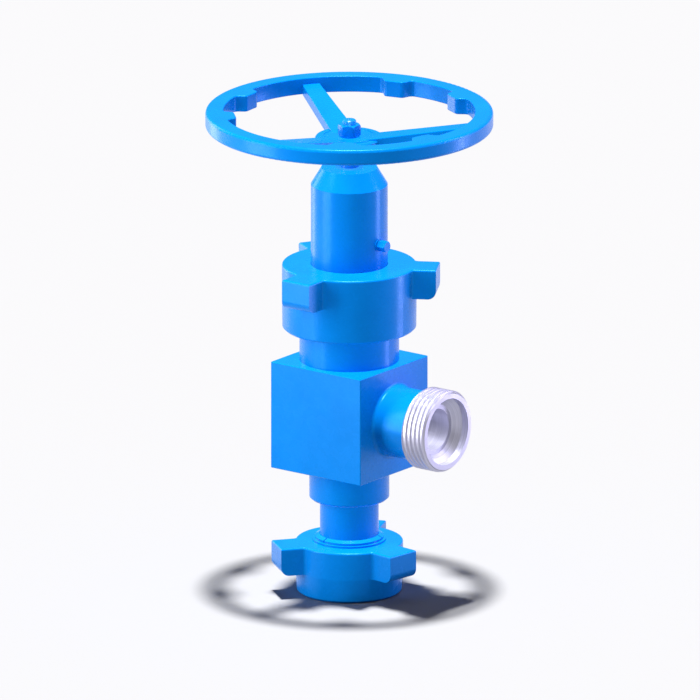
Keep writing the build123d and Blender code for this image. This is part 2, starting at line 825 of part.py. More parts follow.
# ---- handwheel: dished cast wheel with three tapering spokes and finger lobes ----
lobe_pitch = 360 / lobe_count
lobe_tip_r = wheel_rim_inner_r - lobe_depth
rim_middle_r = (wheel_rim_r + wheel_rim_inner_r) / 2
spoke_pitch = 360 / spoke_count
spoke_root_r = wheel_boss_r - spoke_root_depth
with BuildPart() as handwheel:
    with BuildSketch(Plane.XY.offset(rim_bottom)) as rim_outline:
        Circle(wheel_rim_r)
        Circle(wheel_rim_inner_r, mode=Mode.SUBTRACT)
        for lobe in range(lobe_count):
            if lobe % (lobe_count // spoke_count) != 0:
                with Locations(Rotation(0, 0, spoke_angle + lobe * lobe_pitch)):
                    Polygon(
                        (lobe_tip_r, -lobe_tip_width / 2),
                        (lobe_tip_r, lobe_tip_width / 2),
                        (wheel_rim_inner_r + overlap, lobe_root_width / 2),
                        (rim_middle_r, lobe_root_width / 2),
                        (rim_middle_r, -lobe_root_width / 2),
                        (wheel_rim_inner_r + overlap, -lobe_root_width / 2),
                        align=None,
                    )
        inner_corners = rim_outline.vertices().filter_by(
            lambda v: Vector(v.X, v.Y).length < wheel_rim_inner_r + overlap
        )
        fillet(inner_corners, radius=lobe_round)
    extrude(amount=wheel_rim_height)
    rim_faces = handwheel.faces().filter_by(Plane.XY)
    outer_edges = rim_faces.edges().filter_by(GeomType.CIRCLE).filter_by(
        lambda e: abs(e.radius - wheel_rim_r) < near
    )
    fillet(outer_edges, radius=wheel_rim_fillet)
    rim_faces = handwheel.faces().filter_by(Plane.XY)
    inner_edges = rim_faces.edges().filter_by(
        lambda e: Vector((e @ 0.5).X, (e @ 0.5).Y).length < wheel_rim_inner_r + overlap
    )
    fillet(inner_edges, radius=wheel_rim_inner_fillet)
    for spoke in range(spoke_count):
        angle = spoke_angle + spoke * spoke_pitch
        hub_middle = hub_top - spoke_thick / 2
        with BuildSketch(radial_plane(angle, spoke_root_r, hub_middle)):
            RectangleRounded(spoke_hub_width, spoke_thick, spoke_round)
        with BuildSketch(radial_plane(angle, rim_middle_r, hub_middle + spoke_rise)):
            RectangleRounded(spoke_rim_width, spoke_thick, spoke_round)
        loft()
    turn(
        [
            (0, hub_bottom),
            (wheel_boss_r - wheel_hub_chamfer, hub_bottom),
            (wheel_boss_r, hub_bottom + wheel_hub_chamfer),
            (wheel_boss_r, hub_top - wheel_disc_thick - wheel_disc_web),
            (wheel_boss_r + wheel_disc_web, hub_top - wheel_disc_thick),
            (wheel_disc_r - wheel_hub_chamfer, hub_top - wheel_disc_thick),
            (wheel_disc_r, hub_top - wheel_disc_thick + wheel_hub_chamfer),
            (wheel_disc_r, hub_top - wheel_hub_chamfer),
            (wheel_disc_r - wheel_hub_chamfer, hub_top),
            (0, hub_top),
        ]
    )
    turn(
        [
            (0, hub_bottom),
            (wheel_seat_r + seat_gap, hub_bottom),
            (wheel_seat_r + seat_gap, hub_top + overlap),
            (0, hub_top + overlap),
        ],
        mode=Mode.SUBTRACT,
    )
    with BuildSketch(Plane.XY.offset(hub_bottom)):
        with Locations((wheel_seat_r, 0)):
            Rectangle(key_width + 2 * seat_gap, key_width + 2 * seat_gap)
    extrude(amount=wheel_hub_height, mode=Mode.SUBTRACT)
save(handwheel, "handwheel")

# ---- washer and nut that hold the wheel on the stem ----
with BuildPart() as wheel_washer:
    turn(
        [
            (stem_end_r + seat_gap, hub_top),
            (washer_r, hub_top),
            (washer_r, nut_bottom),
            (stem_end_r + seat_gap, nut_bottom),
        ]
    )
save(wheel_washer, "wheel_washer")


def hexagon_blank(plane, flats, height, crown):
    # A hexagonal prism whose far corners are turned to a cone, as on a standard nut.
    corner_r = flats / 2 / cos(radians(30))
    with BuildPart() as blank:
        with BuildSketch(plane):
            RegularPolygon(radius=corner_r, side_count=6)
        extrude(amount=height)
        with BuildSketch(plane) as disc:
            Circle(corner_r + near)
        turned = extrude(disc.sketch, amount=height, mode=Mode.PRIVATE)
        far_edge = turned.faces().sort_by(Axis(plane.origin, plane.z_dir))[-1].edges()
        add(turned.chamfer(crown, None, far_edge), mode=Mode.INTERSECT)
    return blank


wheel_nut_blank = hexagon_blank(
    Plane.XY.offset(nut_bottom), wheel_nut_flats, wheel_nut_height, wheel_nut_crown
)
with BuildPart() as wheel_nut:
    add(wheel_nut_blank.part)
    turn(
        [
            (0, nut_bottom),
            (stem_end_r + seat_gap, nut_bottom),
            (stem_end_r + seat_gap, nut_top),
            (0, nut_top),
        ],
        mode=Mode.SUBTRACT,
    )
save(wheel_nut, "wheel_nut")

# ---- bleed plug and its washer, in the side of the bonnet's barrel ----
washer_face = spot_face + bleed_washer_thick
shank_end = bonnet_barrel_r - bleed_shank_length
bleed_head = hexagon_blank(
    radial_plane(0, washer_face, bleed_z), bleed_flats, bleed_head_length, bleed_crown
)
with BuildPart() as bleed_plug:
    with BuildSketch(radial_plane(0, shank_end, bleed_z)):
        Circle(bleed_shank_r)
    extrude(amount=washer_face - shank_end)
    add(bleed_head.part)
save(bleed_plug, "bleed_plug")

with BuildPart() as bleed_plug_washer:
    with BuildSketch(radial_plane(0, spot_face, bleed_z)):
        Circle(bleed_washer_r)
        Circle(bleed_shank_r + seat_gap, mode=Mode.SUBTRACT)
    extrude(amount=bleed_washer_thick)
save(bleed_plug_washer, "bleed_plug_washer")
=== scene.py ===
import math
import bmesh
import bpy
import numpy as np
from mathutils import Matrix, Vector


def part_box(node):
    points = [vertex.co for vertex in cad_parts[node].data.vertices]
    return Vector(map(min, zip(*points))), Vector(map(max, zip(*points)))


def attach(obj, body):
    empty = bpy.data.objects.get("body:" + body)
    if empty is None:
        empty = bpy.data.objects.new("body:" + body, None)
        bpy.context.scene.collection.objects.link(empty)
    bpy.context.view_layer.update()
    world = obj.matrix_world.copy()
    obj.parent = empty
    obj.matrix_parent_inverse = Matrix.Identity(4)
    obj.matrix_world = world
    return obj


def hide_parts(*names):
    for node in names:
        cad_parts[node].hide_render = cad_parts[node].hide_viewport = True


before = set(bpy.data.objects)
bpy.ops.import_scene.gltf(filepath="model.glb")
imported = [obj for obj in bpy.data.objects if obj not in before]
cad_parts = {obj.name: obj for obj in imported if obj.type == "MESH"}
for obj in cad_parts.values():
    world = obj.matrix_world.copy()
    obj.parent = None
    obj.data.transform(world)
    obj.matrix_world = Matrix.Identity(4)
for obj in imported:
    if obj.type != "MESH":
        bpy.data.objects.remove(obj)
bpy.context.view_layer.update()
print("frame loaded:", len(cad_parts), "nodes")

mm = 0.001


def nodeMm(nodeName):
    # Lowest and highest corner of a CAD node, in millimetres.
    low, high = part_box(nodeName)
    return np.array(low) / mm, np.array(high) / mm


def linearColour(hexText):
    # An sRGB hex value turned to the linear numbers that a shader takes, with an alpha of 1.
    values = [int(hexText[i:i + 2], 16) / 255 for i in (1, 3, 5)]
    return [v / 12.92 if v <= 0.04045 else ((v + 0.055) / 1.055) ** 2.4 for v in values] + [1.0]


def addNode(tree, kind, output, inputs=(), **settings):
    # Adds one node, sets its own properties and fills its inputs, by name or in the node's own
    # order, each with a value or a link from a socket. Gives back the output that is asked for.
    node = tree.nodes.new(kind)
    for name, value in settings.items():
        setattr(node, name, value)
    filled = inputs if isinstance(inputs, dict) else dict(enumerate(inputs))
    for name, value in filled.items():
        if isinstance(value, bpy.types.NodeSocket):
            tree.links.new(value, node.inputs[name])
        else:
            node.inputs[name].default_value = value
    return node.outputs[output]


def newMaterial(name):
    material = bpy.data.materials.new(name)
    material.use_nodes = True
    tree = material.node_tree
    return material, tree, tree.nodes["Principled BSDF"]


def objectPoint(tree, scale=(1, 1, 1)):
    # The point on the piece in metres, stretched by scale before a pattern reads it.
    where = addNode(tree, "ShaderNodeTexCoord", "Object")
    return addNode(tree, "ShaderNodeMapping", "Vector", {"Vector": where, "Scale": scale})


def perMetre(sizeMm):
    # How many features of this size fit in a metre: the scale that a noise texture needs.
    return 1000 / sizeMm


def surfaceFromGrid(name, points, closeU=True):
    # points is an array (u, v, 3) whose v runs round a section and closes; u closes as well, like
    # a torus, or else its two ends get a face each. Neighbours become quads, whole arrays at once.
    # The signed volume of the shell, a sixth of the sum of a . (b x c) over its triangles, says
    # whether the faces have to be turned to look outwards.
    nu, nv = points.shape[:2]
    a, b = np.meshgrid(np.arange(nu if closeU else nu - 1), np.arange(nv), indexing="ij")
    a2, b2 = (a + 1) % nu, (b + 1) % nv
    quads = np.stack([a * nv + b, a2 * nv + b, a2 * nv + b2, a * nv + b2], axis=-1).reshape(-1, 4)
    flat = points.reshape(-1, 3)
    p, q, r, t = (flat[quads[:, i]] for i in range(4))
    volume = (p * np.cross(q, r)).sum() + (p * np.cross(r, t)).sum()
    faces = quads.tolist()
    if not closeU:
        faces += [list(range(nv)), list(range(nu * nv - 1, (nu - 1) * nv - 1, -1))]
    if volume < 0:
        faces = [face[::-1] for face in faces]
    mesh = bpy.data.meshes.new(name)
    mesh.from_pydata(flat.tolist(), [], faces)
    mesh.update()
    piece = bpy.data.objects.new(name, mesh)
    bpy.context.collection.objects.link(piece)
    return piece


def shadeSmooth(piece, degrees):
    piece.data.shade_smooth()
    piece.data.set_sharp_from_angle(angle=math.radians(degrees))


paint = {
    "colour": "#0274CB",
    "deepColour": "#016EC2",
    "sheenTint": "#2F96FF",
    "ior": 1.5,
    "mottleMm": 45,         # patches where the film lies thicker
    "glossMm": 12,          # patches of more and less gloss
    "roughness": 0.26,
    "roughLess": 0.04,
    "roughMore": 0.06,
    "peelMm": 1.6,          # orange peel of a sprayed enamel
    "peelDepthMm": 0.03,
    "peelStrength": 0.4,
    "castGrainMm": 2.4,     # sand grain that shows through the paint of a casting
    "castDepthMm": 0.05,
    "castStrength": 0.6,
    "bareColour": "#C6C6D0",    # bored steel inside, where no paint goes
}
noiseRoughness = 0.55
wholeNoise = (0.25, 0.75)   # the part of a noise's values that is drawn out
mostNoise = (0.3, 0.7)
midNoise = (0.35, 0.65)
paintEdgeMm = 0.4           # width over which the paint ends at bare steel
inletHeightMm = sum(corner[2] for corner in nodeMm("inlet_thread_sub")) / 2

# Radii in which the steel is bare: round the stem's axis, and round the inlet's on its own side.
bodyBores = {"stemMm": 46.0, "inletMm": 36.0, "inletSideMm": 1.0}
pipeBore = {"stemMm": 26.5, "noseTopMm": 34.0}    # and the nose that seals, up to this height


def axisDistance(tree, point, keep, offset=(0, 0, 0)):
    # Distance from an axis: the point is moved by offset, flattened along the axis and measured.
    flat = addNode(tree, "ShaderNodeMapping", "Vector", {
        "Vector": point, "Location": offset, "Scale": keep})
    return addNode(tree, "ShaderNodeVectorMath", "Value", [flat], operation="LENGTH")


def upTo(tree, value, edgeMm):
    # 1 up to edgeMm and 0 beyond it, falling in a straight line over the paint's edge.
    fall = [value, edgeMm * mm, (edgeMm + paintEdgeMm) * mm, 1.0, 0.0]
    return addNode(tree, "ShaderNodeMapRange", "Result", fall)


def bareMask(tree, point, bores):
    # 1 on the walls of the bores and on the sealing nose, which get no paint, 0 elsewhere.
    bare = upTo(tree, axisDistance(tree, point, (1, 1, 0)), bores["stemMm"])
    if "noseTopMm" in bores:
        nose = upTo(tree, addNode(tree, "ShaderNodeSeparateXYZ", "Z", [point]), bores["noseTopMm"])
        bare = addNode(tree, "ShaderNodeMath", "Value", [bare, nose], operation="MAXIMUM")
    if "inletMm" in bores:
        fromInletAxis = axisDistance(tree, point, (0, 1, 1), (0, 0, -inletHeightMm * mm))
        inlet = upTo(tree, fromInletAxis, bores["inletMm"])
        alongInlet = addNode(tree, "ShaderNodeSeparateXYZ", "X", [point])
        rise = [alongInlet, 0.0, bores["inletSideMm"] * mm, 0.0, 1.0]
        side = addNode(tree, "ShaderNodeMapRange", "Result", rise)
        inlet = addNode(tree, "ShaderNodeMath", "Value", [inlet, side], operation="MULTIPLY")
        bare = addNode(tree, "ShaderNodeMath", "Value", [bare, inlet], operation="MAXIMUM")
    return bare


def enamelMaterial(name, s, castGrain=False, bores=None):
    # Alkyd enamel sprayed over shot-blasted steel: an even, glossy film of deep blue with a fine
    # orange peel, a shade deeper where it lies thick. On a casting the sand's grain shows through.
    material, tree, shader = newMaterial(name)
    point = objectPoint(tree)
    lumps = addNode(tree, "ShaderNodeTexNoise", "Fac", {
        "Vector": point, "Scale": perMetre(s["mottleMm"]), "Detail": 4.0, "Roughness": noiseRoughness})
    thick = addNode(tree, "ShaderNodeMapRange", "Result", [lumps, *mostNoise, 0.0, 1.0])
    colour = addNode(tree, "ShaderNodeMix", "Result", {
        "Factor": thick, "A": linearColour(s["colour"]), "B": linearColour(s["deepColour"])},
        data_type="RGBA")
    patches = addNode(tree, "ShaderNodeTexNoise", "Fac", {
        "Vector": point, "Scale": perMetre(s["glossMm"]), "Detail": 5.0, "Roughness": noiseRoughness})
    rough = addNode(tree, "ShaderNodeMapRange", "Result", [
        patches, *wholeNoise, s["roughness"] - s["roughLess"], s["roughness"] + s["roughMore"]])
    peel = addNode(tree, "ShaderNodeTexNoise", "Fac", {
        "Vector": point, "Scale": perMetre(s["peelMm"]), "Detail": 2.0, "Roughness": noiseRoughness})
    normal = addNode(tree, "ShaderNodeBump", "Normal", {
        "Height": peel, "Strength": s["peelStrength"], "Distance": s["peelDepthMm"] * mm})
    if castGrain:
        grain = addNode(tree, "ShaderNodeTexNoise", "Fac", {
            "Vector": point, "Scale": perMetre(s["castGrainMm"]), "Detail": 3.0,
            "Roughness": noiseRoughness})
        normal = addNode(tree, "ShaderNodeBump", "Normal", {
            "Height": grain, "Strength": s["castStrength"], "Distance": s["castDepthMm"] * mm,
            "Normal": normal})
    if bores:
        bare = bareMask(tree, point, bores)
        colour = addNode(tree, "ShaderNodeMix", "Result", {
            "Factor": bare, "A": colour, "B": linearColour(s["bareColour"])}, data_type="RGBA")
        tree.links.new(bare, shader.inputs["Metallic"])
    tree.links.new(colour, shader.inputs["Base Color"])
    tree.links.new(rough, shader.inputs["Roughness"])
    tree.links.new(normal, shader.inputs["Normal"])
    shader.inputs["Specular Tint"].default_value = linearColour(s["sheenTint"])
    shader.inputs["IOR"].default_value = s["ior"]
    return material


# What each bare metal looks like: its two tones, the pitch of the tool marks and their depth. The
# marks run in rings round axis.
metals = {
    "turnedSteelAlongInlet": {"bright": "#C0C0D2", "dull": "#A6A6BA", "roughness": 0.42, "metallic": 0.75,
                              "markMm": 0.9, "depthMm": 0.02, "axis": (1, 0, 0)},
    "turnedSteel": {"bright": "#C9CACF", "dull": "#A6A8AE", "roughness": 0.32, "metallic": 1.0,
                    "markMm": 0.9, "depthMm": 0.02, "axis": (0, 0, 1)},
    "groundCarbide": {"bright": "#6E7075", "dull": "#55575C", "roughness": 0.28, "metallic": 1.0,
                      "markMm": 0.6, "depthMm": 0.006, "axis": (0, 0, 1)},
    "turnedBronze": {"bright": "#C79A55", "dull": "#A87A3C", "roughness": 0.33, "metallic": 1.0,
                     "markMm": 0.8, "depthMm": 0.02, "axis": (0, 0, 1)},
}
stemSteel = {
    "bright": "#D4D5D9",
    "dull": "#BBBDC3",
    "roughness": 0.18,
    "markMm": 0.5,
    "paintAboveCapMm": 1.0,
}
toolMark = {
    "alongScale": 4.0,      # the marks change slowly along their own direction
    "stainMm": 18,
    "roughLess": 0.05,
    "roughMore": 0.07,
    "strength": 0.5,
}


def turnedMetalMaterial(name, s):
    # Alloy steel, bronze or carbide as it leaves the lathe or the grinder: bright bare metal with
    # fine rings round its axis. The rings are drawn coarser than the real feed, so that they show.
    material, tree, shader = newMaterial(name)
    stretched = [perMetre(s["markMm"]) if across else toolMark["alongScale"] for across in s["axis"]]
    rings = addNode(tree, "ShaderNodeTexNoise", "Fac", {
        "Vector": objectPoint(tree, stretched), "Scale": 1.0, "Detail": 2.0})
    tone = addNode(tree, "ShaderNodeMapRange", "Result", [rings, *midNoise, 0.0, 1.0])
    colour = addNode(tree, "ShaderNodeMix", "Result", {
        "Factor": tone, "A": linearColour(s["dull"]), "B": linearColour(s["bright"])}, data_type="RGBA")
    stain = addNode(tree, "ShaderNodeTexNoise", "Fac", {
        "Vector": objectPoint(tree), "Scale": perMetre(toolMark["stainMm"]), "Detail": 4.0,
        "Roughness": noiseRoughness})
    rough = addNode(tree, "ShaderNodeMapRange", "Result", [
        stain, *mostNoise, s["roughness"] - toolMark["roughLess"], s["roughness"] + toolMark["roughMore"]])
    normal = addNode(tree, "ShaderNodeBump", "Normal", {
        "Height": rings, "Strength": toolMark["strength"], "Distance": s["depthMm"] * mm})
    tree.links.new(colour, shader.inputs["Base Color"])
    tree.links.new(rough, shader.inputs["Roughness"])
    tree.links.new(normal, shader.inputs["Normal"])
    shader.inputs["Metallic"].default_value = s["metallic"]
    return material


def stemMaterial(name, s, coat, paintedFromMm):
    # The stem is ground bare steel, but what stood out of the closed valve when it was sprayed
    # is under the same blue enamel, so a bright band rises out of the cap as the valve opens.
    material, tree, shader = newMaterial(name)
    height = addNode(tree, "ShaderNodeSeparateXYZ", "Z", [objectPoint(tree)])
    low, high = paintedFromMm - paintEdgeMm / 2, paintedFromMm + paintEdgeMm / 2
    painted = addNode(tree, "ShaderNodeMapRange", "Result", [height, low * mm, high * mm, 0.0, 1.0])
    stretched = (toolMark["alongScale"], toolMark["alongScale"], perMetre(s["markMm"]))
    scratch = addNode(tree, "ShaderNodeTexNoise", "Fac", {
        "Vector": objectPoint(tree, stretched), "Scale": 1.0})
    steel = addNode(tree, "ShaderNodeMix", "Result", {
        "Factor": scratch, "A": linearColour(s["dull"]), "B": linearColour(s["bright"])}, data_type="RGBA")
    colour = addNode(tree, "ShaderNodeMix", "Result", {
        "Factor": painted, "A": steel, "B": linearColour(coat["colour"])}, data_type="RGBA")
    bare = addNode(tree, "ShaderNodeMapRange", "Result", [painted, 0.0, 1.0, 1.0, 0.0])
    rough = addNode(tree, "ShaderNodeMapRange", "Result", [
        painted, 0.0, 1.0, s["roughness"], coat["roughness"]])
    tree.links.new(colour, shader.inputs["Base Color"])
    tree.links.new(bare, shader.inputs["Metallic"])
    tree.links.new(rough, shader.inputs["Roughness"])
    return material


softKinds = {
    "mouldedPacking": {"colour": "#DDD8C8", "dark": "#CFC8B4", "roughness": 0.55, "grainMm": 3.0},
    "mouldedNitrile": {"colour": "#17181A", "dark": "#0E0F10", "roughness": 0.5, "grainMm": 2.0},
    "mouldedUrethane": {"colour": "#0268B8", "dark": "#015CA6", "roughness": 0.4, "grainMm": 2.0},
}
mouldSkin = {"strength": 0.2, "depthMm": 0.02}


def mouldedMaterial(name, s):
    # Filled PTFE, nitrile rubber or blue urethane out of a polished mould: a close, slightly
    # waxy matt skin.
    material, tree, shader = newMaterial(name)
    grain = addNode(tree, "ShaderNodeTexNoise", "Fac", {
        "Vector": objectPoint(tree), "Scale": perMetre(s["grainMm"]), "Detail": 3.0,
        "Roughness": noiseRoughness})
    colour = addNode(tree, "ShaderNodeMix", "Result", {
        "Factor": grain, "A": linearColour(s["colour"]), "B": linearColour(s["dark"])}, data_type="RGBA")
    normal = addNode(tree, "ShaderNodeBump", "Normal", {
        "Height": grain, "Strength": mouldSkin["strength"], "Distance": mouldSkin["depthMm"] * mm})
    tree.links.new(colour, shader.inputs["Base Color"])
    tree.links.new(normal, shader.inputs["Normal"])
    shader.inputs["Roughness"].default_value = s["roughness"]
    return material


capTopMm = nodeMm("bonnet_cap")[1][2]
finishes = {
    "enamelForging": enamelMaterial("enamelForging", paint),
    "enamelBoredBody": enamelMaterial("enamelBoredBody", paint, bores=bodyBores),
    "enamelBoredPipe": enamelMaterial("enamelBoredPipe", paint, bores=pipeBore),
    "enamelCasting": enamelMaterial("enamelCasting", paint, castGrain=True),
    "paintedStem": stemMaterial("paintedStem", stemSteel, paint, capTopMm + stemSteel["paintAboveCapMm"]),
}
for finish, settings in metals.items():
    finishes[finish] = turnedMetalMaterial(finish, settings)
for finish, settings in softKinds.items():
    finishes[finish] = mouldedMaterial(finish, settings)

# Which finish each CAD node has. The nodes that aren't named here are painted forgings.
nodeFinishes = {
    "enamelBoredBody": ["valve_body"],
    "enamelBoredPipe": ["outlet_male_sub"],
    "enamelCasting": ["handwheel"],
    "turnedSteelAlongInlet": ["inlet_thread_sub"],
    "turnedSteel": ["needle_holder", "needle_lock_ring", "packing_gland", "stem_nut_lock_ring",
                    "wheel_key"],
    "paintedStem": ["stem"],
    "groundCarbide": ["needle_tip", "seat"],
    "turnedBronze": ["stem_nut", "packing_header"],
    "mouldedPacking": ["packing_ring_1", "packing_ring_2", "packing_ring_3", "bonnet_backup_ring"],
    "mouldedNitrile": ["bonnet_seal_ring", "seat_seal_ring"],
    "mouldedUrethane": ["wiper_ring"],
}


def assign(piece, finish):
    piece.data.materials.clear()
    piece.data.materials.append(finishes[finish])


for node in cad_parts.values():
    assign(node, "enamelForging")
for finish, nodeNames in nodeFinishes.items():
    for nodeName in nodeNames:
        assign(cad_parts[nodeName], finish)
print("materials made and given to", len(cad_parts), "nodes")

threadSharpDegrees = 28


def threadHeight(angle, along, s):
    # Acme form, from 0 in the root to 1 on the crest. The phase along/pitch - angle/2pi gives a
    # right-hand helix; |2 phase - 1| is 0 on the crest's middle and 1 in the root's, and the
    # flank joins the two flats as a straight line. Both ends fade out over fadeMm.
    phase = (along / s["pitchMm"] - angle / (2 * np.pi)) % 1
    offCrest = np.abs(2 * phase - 1)
    flank = np.clip((s["rootEdge"] - offCrest) / (s["rootEdge"] - s["crestEdge"]), 0, 1)
    fromEnd = np.minimum(along - s["fromMm"], s["toMm"] - along)
    return flank * np.clip(fromEnd / s["fadeMm"], 0, 1)


def threadedPiece(name, s, outline):
    # A closed section swept once round an axis. Its threaded side has the radius
    # root + height * (crest - root) at each angle and place along; the rest is the outline, in
    # pairs of place along and radius.
    angle = np.linspace(0, 2 * np.pi, s["aroundSteps"], endpoint=False)[:, None]
    threadAlong = np.linspace(s["fromMm"], s["toMm"], s["alongSteps"])[None, :]
    threadRadius = s["rootMm"] + threadHeight(angle, threadAlong, s) * (s["crestMm"] - s["rootMm"])
    outline = np.array(outline)
    along = np.concatenate([threadAlong[0], outline[:, 0]])[None, :] + 0 * angle
    radius = np.concatenate([threadRadius, outline[:, 1][None, :] + 0 * angle], axis=1)
    across, upwards = radius * np.cos(angle), radius * np.sin(angle)
    if s["axis"] == "inlet":
        points = np.stack([along, across, upwards + inletHeightMm], axis=-1)
    else:
        points = np.stack([across, upwards, along], axis=-1)
    piece = surfaceFromGrid(name, points * mm)
    shadeSmooth(piece, threadSharpDegrees)
    assign(piece, s["finish"])
    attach(piece, s["body"])
    return piece


def threadSleeve(name, s):
    # A thin threaded sleeve whose plain side, at backMm, is buried in the metal behind it.
    threadedPiece(name, s, [(s["toMm"], s["backMm"]), (s["fromMm"], s["backMm"])])


subLow, subHigh = nodeMm("inlet_thread_sub")
inletEnd = subHigh[0]
inletRadius = (subHigh[2] - subLow[2]) / 2
inletSub = {
    "axis": "inlet", "body": "root", "slot": "machined_steel", "finish": "turnedSteelAlongInlet",
    "pitchMm": 6.35, "crestEdge": 0.30, "rootEdge": 0.74, "fadeMm": 0.6,
    "aroundSteps": 240, "alongSteps": 170,
    "depthMm": 2.1,
    "lipMm": 1.5,              # plain lip in front of the first ridge
    "lipDropMm": 3.4,          # how far the lip's edge lies under the crest
    "threadEndMm": 33.0,       # depths are measured from the end face
    "socketDepthMm": 9.0,
    "socketRadiusMm": 40.8,
    "coneDepthMm": 17.6,
    "coneRadiusMm": 30.5,
    "boreRadiusMm": 25.4,
    "shankRadiusMm": 34.95,    # plain shank that goes into the side neck
}
inletSub["fromMm"] = inletEnd - inletSub["threadEndMm"]
inletSub["toMm"] = inletEnd - inletSub["lipMm"]
inletSub["crestMm"] = inletRadius
inletSub["rootMm"] = inletRadius - inletSub["depthMm"]

# The rest of the section: lip, socket, cone, bore, shank and the shoulder against the neck.
inletOutline = [
    (inletEnd, inletRadius - inletSub["lipDropMm"]),
    (inletEnd, inletSub["socketRadiusMm"]),
    (inletEnd - inletSub["socketDepthMm"], inletSub["socketRadiusMm"]),
    (inletEnd - inletSub["coneDepthMm"], inletSub["coneRadiusMm"]),
    (inletEnd - inletSub["coneDepthMm"], inletSub["boreRadiusMm"]),
    (subLow[0], inletSub["boreRadiusMm"]),
    (subLow[0], inletSub["shankRadiusMm"]),
    (inletSub["fromMm"], inletSub["shankRadiusMm"]),
]
inletThread = threadedPiece("inletThread", inletSub, inletOutline)
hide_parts("inlet_thread_sub")

outletNutThread = {
    "axis": "stem", "body": "outlet_nut", "slot": "machined_steel", "finish": "turnedSteel",
    "pitchMm": 6.35, "crestEdge": 0.30, "rootEdge": 0.74, "fadeMm": 3.0,
    "fromMm": 2.2, "toMm": 33.0, "crestMm": 49.3, "rootMm": 50.3, "backMm": 51.6,
    "aroundSteps": 200, "alongSteps": 130,
}
threadSleeve("outletNutThread", outletNutThread)

neckThread = {
    "axis": "stem", "body": "root", "slot": "machined_steel", "finish": "turnedSteel",
    "pitchMm": 25.4 / 3, "crestEdge": 0.35, "rootEdge": 0.65, "fadeMm": 4.0,
    "plainMm": 3.0,            # left plain at the nut's lower end and at the neck's top
    "crestMm": 60.34, "rootMm": 59.93, "backMm": 58.8,
    "aroundSteps": 200, "alongSteps": 120,
}
neckThread["fromMm"] = nodeMm("bonnet_wing_nut")[0][2] + neckThread["plainMm"]
neckThread["toMm"] = nodeMm("valve_body")[1][2] - neckThread["plainMm"]
threadSleeve("neckThread", neckThread)

stemEndThread = {
    "axis": "stem", "body": "stem_unit", "slot": "blue_enamel", "finish": "enamelForging",
    "pitchMm": 1.5, "crestEdge": 0.25, "rootEdge": 0.8, "fadeMm": 0.3,
    "aboveNutMm": 0.05,
    "plainEndMm": 1.05,        # the stem's chamfered end
    "crestMm": 8.35, "rootMm": 7.9, "backMm": 7.2,
    "aroundSteps": 72, "alongSteps": 50,
}
stemEndThread["fromMm"] = nodeMm("wheel_nut")[1][2] + stemEndThread["aboveNutMm"]
stemEndThread["toMm"] = nodeMm("stem")[1][2] - stemEndThread["plainEndMm"]
threadSleeve("stemEndThread", stemEndThread)
print("threads cut")

tightNut = {
    "turnDegrees": 30.0,       # where the tightened nut has come round to
    "weldMm": 0.001,
    "sharpDegrees": 20,
}


def turnedCopy(name, nodeName, s):
    # The node's own triangles, welded and turned about the stem axis by the usual rotation
    # x' = x cos - y sin, y' = x sin + y cos.
    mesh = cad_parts[nodeName].data.copy()
    mesh.name = name
    welded = bmesh.new()
    welded.from_mesh(mesh)
    bmesh.ops.remove_doubles(welded, verts=welded.verts, dist=s["weldMm"] * mm)
    welded.to_mesh(mesh)
    welded.free()
    place = np.empty(len(mesh.vertices) * 3)
    mesh.vertices.foreach_get("co", place)
    cosine, sine = math.cos(math.radians(s["turnDegrees"])), math.sin(math.radians(s["turnDegrees"]))
    rotation = np.array([[cosine, -sine, 0], [sine, cosine, 0], [0, 0, 1]])
    mesh.vertices.foreach_set("co", (place.reshape(-1, 3) @ rotation.T).ravel())
    mesh.update()
    piece = bpy.data.objects.new(name, mesh)
    bpy.context.collection.objects.link(piece)
    return piece


wheelNut = turnedCopy("wheelNut", "wheel_nut", tightNut)
shadeSmooth(wheelNut, tightNut["sharpDegrees"])
assign(wheelNut, "enamelForging")
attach(wheelNut, "stem_unit")
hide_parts("wheel_nut")
print("wheel nut turned")

turnSign = {
    "count": 3,
    "firstDegrees": 84.5,      # half way between two spokes
    "radiusMm": 32.0,          # of the curved arrow round the wheel nut
    "halfWidthMm": 1.3,
    "headHalfWidthMm": 3.6,
    "pointHalfWidthMm": 0.05,
    "headDegrees": 15.0,
    "spanDegrees": 64.0,
    "topShare": 0.75,          # width of the raised top as a share of the foot's
    "riseMm": 0.7,
    "sinkMm": 0.3,
    "steps": 60,
    "sharpDegrees": 25,
}


def doubleArrow(name, s, middleDegrees, hubMm):
    # A raised arrow bent round the hub, with a head at both ends, for opening and closing. At
    # each angle its half width is the shaft's, or in a head a line from full width to a point;
    # its section is a low trapezium, narrower at the top, sunk a little into the hub.
    angle = np.linspace(-s["spanDegrees"] / 2, s["spanDegrees"] / 2, s["steps"])
    toEnd = s["spanDegrees"] / 2 - np.abs(angle)
    inHead = toEnd < s["headDegrees"]
    half = np.where(inHead, s["headHalfWidthMm"] * toEnd / s["headDegrees"], s["halfWidthMm"])
    half = np.maximum(half, s["pointHalfWidthMm"])[:, None]
    across = np.array([-1.0, -s["topShare"], s["topShare"], 1.0])[None, :] * half
    height = np.array([-s["sinkMm"], s["riseMm"], s["riseMm"], -s["sinkMm"]])[None, :] + 0 * across
    turn = np.radians(angle + middleDegrees)[:, None]
    radius = s["radiusMm"] + across
    points = np.stack([radius * np.cos(turn), radius * np.sin(turn), hubMm + height], axis=-1) * mm
    arrow = surfaceFromGrid(name, points, closeU=False)
    shadeSmooth(arrow, s["sharpDegrees"])
    assign(arrow, "enamelCasting")
    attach(arrow, "stem_unit")


